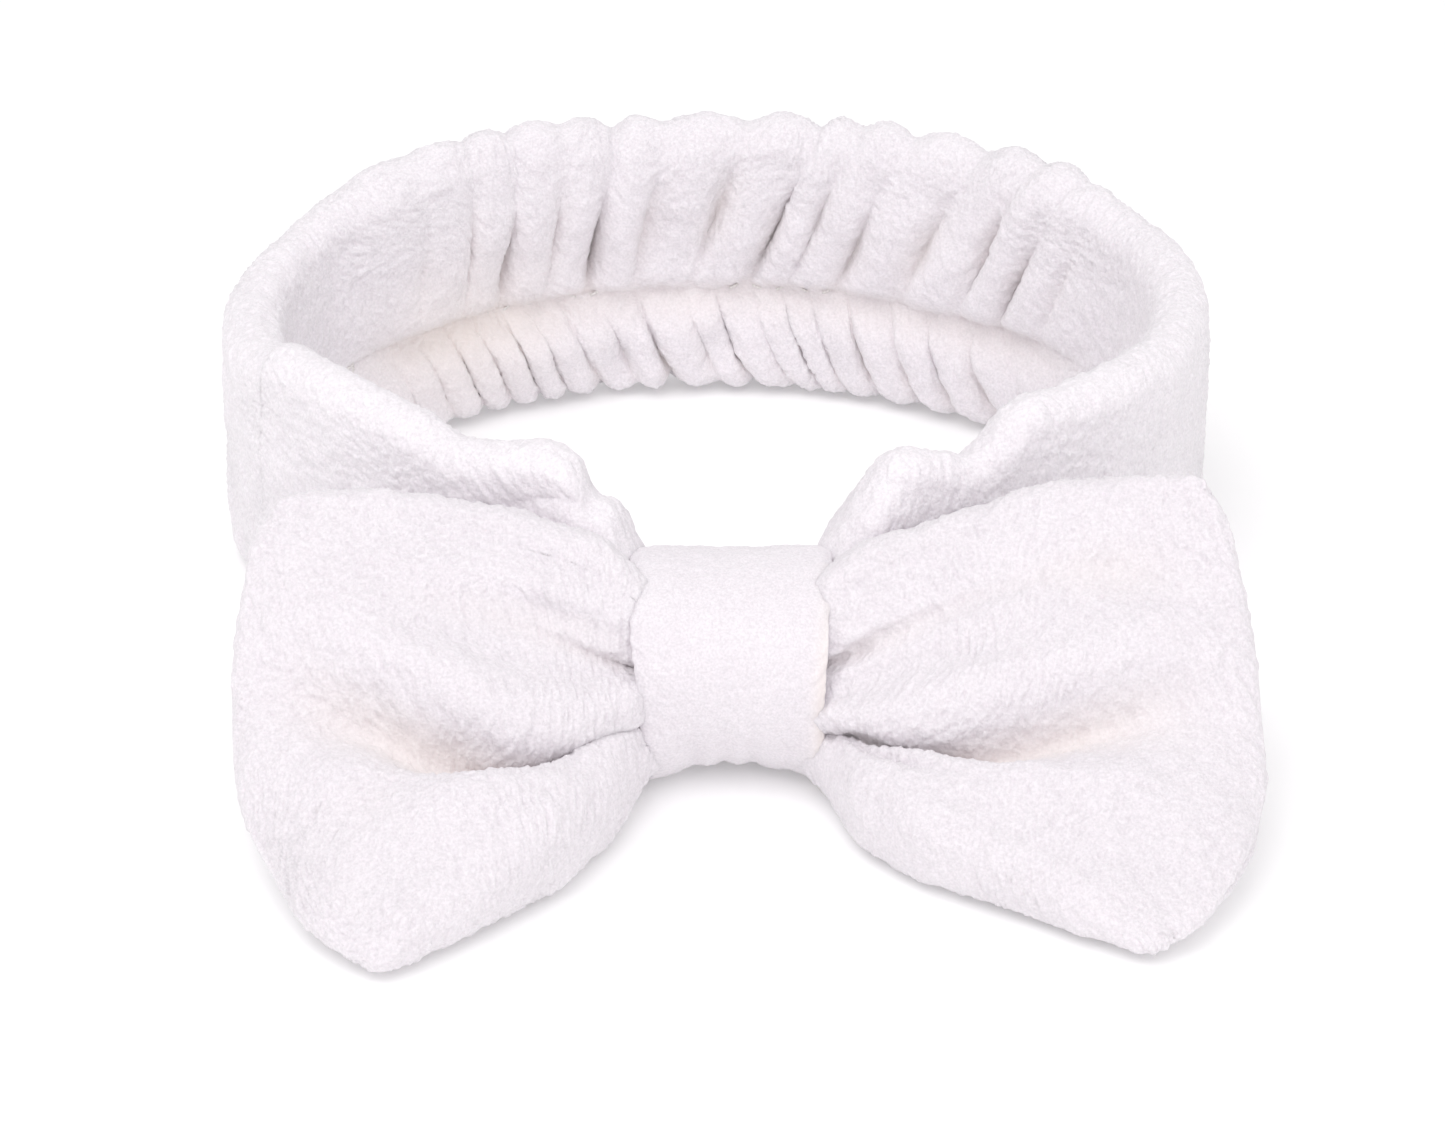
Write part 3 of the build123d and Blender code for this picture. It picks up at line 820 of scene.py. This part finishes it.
def knot():
    """The strip wrapped tight round the bow's middle, its edges rolled in."""
    around, across = 460, 220
    turn = (np.arange(around) / around * 2 * math.pi)[:, None]
    share = (np.arange(across) / across)[None, :]
    width = KNOT_SIZE[0]
    outward, sideways = tube_outline(share + 0 * turn, width, WRAP)
    place = np.clip(sideways / (width / 2), -1, 1)
    over, under = np.clip(np.sin(turn), 0, 1), np.clip(-np.sin(turn), 0, 1)
    squareness = 2.35 - 0.25 * over - 0.3 * under
    round_y = np.sign(np.cos(turn)) * np.abs(np.cos(turn)) ** (2 / squareness)
    round_z = np.sign(np.sin(turn)) * np.abs(np.sin(turn)) ** (2 / squareness)
    offset = outward - WRAP / 2
    rolled = np.clip(outward / (WRAP / 2), 0, 1)
    offset = offset - 1.5 * MM * np.abs(place) ** 5 * rolled * (1 - under)
    ahead = smooth(0.1, -0.8, np.sin(turn)) * smooth(0.4, -0.5, np.cos(turn))
    saddle = 0.9 + 3.4 * np.maximum(under, ahead)
    offset = offset + saddle * MM * (np.abs(place) ** 2.2 - 0.55)
    ribs = np.sin(place * 15 + 1.5 * np.sin(place * 4)) * (0.06 + 0.28 * under)
    offset = offset + ribs * MM * (outward > 0)
    y = KNOT_MIDDLE[1] + round_y * (KNOT_SIZE[1] / 2 + offset)
    z = KNOT_MIDDLE[2] + round_z * (KNOT_SIZE[2] / 2 + offset + 2.8 * MM * under)
    narrow = 1 + 0.07 * over - 0.04 * np.clip(-np.cos(turn), 0, 1)
    x = KNOT_MIDDLE[0] + BOW_SHIFT + sideways * narrow
    x = x + 1.6 * MM * under * np.clip(-place, 0, 1)
    points = np.stack([x, y, z], axis=-1)
    lumps = noise(points, 14 * MM, 95)
    points = points + grid_normals(points, True) * -1 * (lumps * 0.4 * MM)[..., None]
    points = rested(points)
    points = piled(points, True, -1, 90, 0.24 * MM)
    points[..., 2] = np.maximum(points[..., 2], ABOVE_TABLE)
    # Painted shade: cream along the rolled right edge of the knot's front.
    painted_shade = bump(place, 1, 0.12) * (outward > 0) * (0.8 - 0.5 * over) * (np.cos(turn) < 0)
    piece = grid_object("knot_wrap_fleece", points, True, np.clip(painted_shade, 0, 1))
    piece.data.materials.append(TIGHT_FLEECE)
    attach(piece, "front_band")
    return piece


def bow_middle():
    """The bow's pinched waist, hidden in the knot."""
    length = KNOT_SIZE[0] - 5 * MM
    along = np.linspace(-1, 1, 90)[:, None]
    turn = (np.arange(120) / 120 * 2 * math.pi)[None, :]
    close = np.sqrt(np.clip(1 - np.abs(along) ** 8, 0, 1))
    waist = 0.55 + 0.45 * smooth(0.2, 0.8, np.abs(along))
    ripple = 1 + 0.03 * np.sin(turn * 9 + 2 * along)
    deep, tall = 10.5 * MM, 15.5 * MM
    points = np.stack(
        [
            BOW_SHIFT + along * length / 2 + 0 * turn,
            WAIST_Y + deep * close * waist * ripple * np.cos(turn),
            KNOT_MIDDLE[2] + tall * close * waist * ripple * np.sin(turn),
        ],
        axis=-1,
    )
    points = piled(points, False, 1, 97, 0.25 * MM)
    piece = grid_object("bow_middle_fleece", points, False)
    piece.data.materials.append(FLEECE)
    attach(piece, "front_band")
    return piece


# ---- Elastic and stitches ----


def pinch_thread():
    """Thread wound tight round the bow's waist, under the knot."""
    turns, steps = 6, 480
    turn = np.linspace(0, 2 * math.pi * turns, steps)
    path = np.stack(
        [
            BOW_SHIFT + (turn / turn[-1] - 0.5) * 6 * MM,
            WAIST_Y + 6.1 * MM * np.cos(turn),
            KNOT_MIDDLE[2] + 8.9 * MM * np.sin(turn),
        ],
        -1,
    )
    piece = strand("bow_pinch_thread_wound", path, 0.45 * MM, THREAD, 8)
    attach(piece, "front_band")
    return piece


def strand(name, path, radius, material, sides=8):
    """A thread or cord of round section along a path of points."""
    along = np.gradient(path, axis=0)
    along = along / np.linalg.norm(along, axis=-1, keepdims=True)
    first = np.cross(along, np.array([0, 0, 1.0]))
    first = first / np.maximum(np.linalg.norm(first, axis=-1, keepdims=True), 1e-9)
    second = np.cross(along, first)
    turn = np.arange(sides) / sides * 2 * math.pi
    points = (
        path[:, None, :]
        + radius * np.cos(turn)[None, :, None] * first[:, None, :]
        + radius * np.sin(turn)[None, :, None] * second[:, None, :]
    )
    piece = grid_object(name, points, False)
    piece.data.materials.append(material)
    return piece


def gather_stitches():
    """Zigzag stitches that hold the elastic along the valley of the gathers."""
    start = GATHER_START - 4 * MM
    steps = 2400
    run = np.linspace(start, 2 * HALF_RUN - start, steps)
    x, y, normal_x, normal_y = oval(signed(run))
    wave = 2 * math.pi * (run - start) / (5 * MM)
    through_wall = -(WALL / 2 - 1.9 * MM) * np.clip(1.6 * np.cos(wave), -1, 1)
    rise = 0.8 * MM * np.sin(wave / 2)
    path = np.stack([x + through_wall * normal_x, y + through_wall * normal_y, SEAM_Z + rise], -1)
    piece = strand("gather_stitches", path, THREAD_RADIUS, THREAD, 6)
    stretches(piece)
    return piece


def on_wall(run, inward, height):
    """Points inward metres towards the head from the middle of the wall."""
    x, y, normal_x, normal_y = oval(run)
    return np.stack([x - inward * normal_x, y - inward * normal_y, height + 0 * run], -1)


def long_seam(name, side):
    """Small stitches that close the tube along its inner face, sunk in the pile."""
    run = side * np.linspace(22 * MM, GATHER_START - 5 * MM, 1500)
    wave = 2 * math.pi * run / (3.2 * MM)
    inward = WALL / 2 - 0.1 * MM + 0.4 * MM * np.sin(wave)
    path = on_wall(run, inward, SEAM_Z)
    piece = strand("seam_stitches_" + name, path, THREAD_RADIUS, THREAD, 6)
    stretches(piece)
    return piece


def elastic_tack(name, side):
    """A bar of zigzag stitches that holds one end of the elastic."""
    wave = np.linspace(0, 1, 500)
    run = GATHER_START - 4 * MM + 0.8 * MM * np.sin(2 * math.pi * 14 * wave)
    height = SEAM_Z + (wave - 0.5) * 18 * MM
    inward = WALL / 2 - 0.3 * MM + 0.3 * MM * np.cos(2 * math.pi * 28 * wave)
    path = on_wall(side * run, inward, height)
    piece = strand("tack_stitches_" + name, path, THREAD_RADIUS, THREAD, 6)
    stretches(piece)
    return piece


def knot_seam():
    """Whip stitches that close the strip at the back of the knot."""
    wave = np.linspace(-1, 1, 700)
    x = BOW_SHIFT + wave * (KNOT_SIZE[0] / 2 - 3 * MM)
    back = KNOT_HIGH[1] - 0.55 * MM + 0.5 * MM * np.cos(2 * math.pi * 18 * wave)
    height = KNOT_MIDDLE[2] + 0.9 * MM * np.sin(2 * math.pi * 9 * wave)
    path = np.stack([x, back, height], -1)
    piece = strand("knot_back_stitches", path, THREAD_RADIUS, THREAD, 6)
    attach(piece, "front_band")
    return piece


def elastic():
    """Woven elastic inside the rear of the band, rippled where the gathers relax."""
    start = GATHER_START - 8 * MM
    steps, height, half_thick = 900, 20 * MM, 0.5 * MM
    run = np.linspace(start, 2 * HALF_RUN - start, steps)[:, None]
    x, y, normal_x, normal_y = oval(signed(run))
    level = np.array([-1, -0.75, -0.5, -0.25, 0, 0.25, 0.5, 0.75, 1])
    level = np.concatenate([level, level[::-1]])[None, :]
    face = np.concatenate([-np.ones(9), np.ones(9)])[None, :]
    ripple = 0.25 * MM * np.sin(run / (2.4 * MM))
    outward = ripple + face * half_thick * (1 - 0.3 * np.abs(level) ** 6)
    points = np.stack(
        [x + outward * normal_x, y + outward * normal_y, SEAM_Z + level * height / 2 + 0 * run], -1
    )
    piece = grid_object("elastic_webbing", points, False)
    piece.data.materials.append(ELASTIC)
    stretches(piece)
    return piece


# ---- Stage ----


def stage():
    """A pale floor under soft light from above and in front."""
    floor_mesh = bpy.data.meshes.new("floor")
    size = 3.0
    floor_mesh.from_pydata(
        [(-size, -size, 0), (size, -size, 0), (size, size, 0), (-size, size, 0)], [], [(0, 1, 2, 3)]
    )
    floor = bpy.data.objects.new("floor", floor_mesh)
    bpy.context.collection.objects.link(floor)
    material, _, _, shader = node_tree("pale_floor")
    shader.inputs["Base Color"].default_value = (0.92, 0.92, 0.92, 1)
    shader.inputs["Roughness"].default_value = 0.9
    shader.inputs["Emission Color"].default_value = (1, 1, 1, 1)
    shader.inputs["Emission Strength"].default_value = 0.13
    floor.data.materials.append(material)

    world = bpy.data.worlds.new("studio")
    bpy.context.scene.world = world
    world.use_nodes = True
    background = world.node_tree.nodes["Background"]
    background.inputs["Color"].default_value = (1.0, 0.99, 1.0, 1)
    background.inputs["Strength"].default_value = 0.72

    def area(name, place, size, power):
        light = bpy.data.lights.new(name, "AREA")
        light.energy = power
        light.size = size
        lamp = bpy.data.objects.new(name, light)
        lamp.location = place
        lamp.rotation_euler = (-Vector(place)).to_track_quat("-Z", "Y").to_euler()
        bpy.context.collection.objects.link(lamp)

    area("key", (-0.30, -0.40, 1.02), 0.8, 4.2)
    area("fill", (0.25, -0.95, 0.75), 1.2, 4.2)


def camera():
    """Looks at the ring from in front, above its plane."""
    elevation = math.radians(24.5)
    pitch = math.radians(29.06)
    distance = 0.68
    rim = Vector((0, 0, BAND_HEIGHT))
    data = bpy.data.cameras.new("camera")
    data.lens = 90.3
    data.sensor_width = 36
    eye = bpy.data.objects.new("camera", data)
    eye.location = rim + distance * Vector((0, -math.cos(elevation), math.sin(elevation)))
    eye.location.x = 0.001
    eye.rotation_euler = (math.pi / 2 - pitch, 0, 0)
    bpy.context.collection.objects.link(eye)
    bpy.context.scene.camera = eye
    bpy.context.scene.view_settings.view_transform = "Standard"


stage()
camera()
ring = band()
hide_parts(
    "band_front_left", "band_front_right", "band_gather_left", "band_gather_right", "band_rear",
)
for name in ("left", "right"):
    piece = wing(name)
    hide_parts("bow_front_panel_" + name, "bow_back_panel_" + name, "bow_edge_seam_" + name)
wrap = knot()
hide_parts("knot_wrap")
middle = bow_middle()
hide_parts("bow_middle")
pinch = pinch_thread()
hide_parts("bow_pinch_thread")
stitches = gather_stitches()
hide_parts("gather_stitching")
webbing = elastic()
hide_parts("elastic_strip")
for name, side in (("left", -1), ("right", 1)):
    seam = long_seam(name, side)
    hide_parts("long_seam_" + name)
    tack = elastic_tack(name, side)
    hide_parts("elastic_tack_" + name)
knot_stitches = knot_seam()
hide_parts("knot_back_seam")
# The end seam's stitches stay as CAD made them, inside the knot.
for node in frame["nodes"].values():
    for slot in node.material_slots:
        slot.material = THREAD
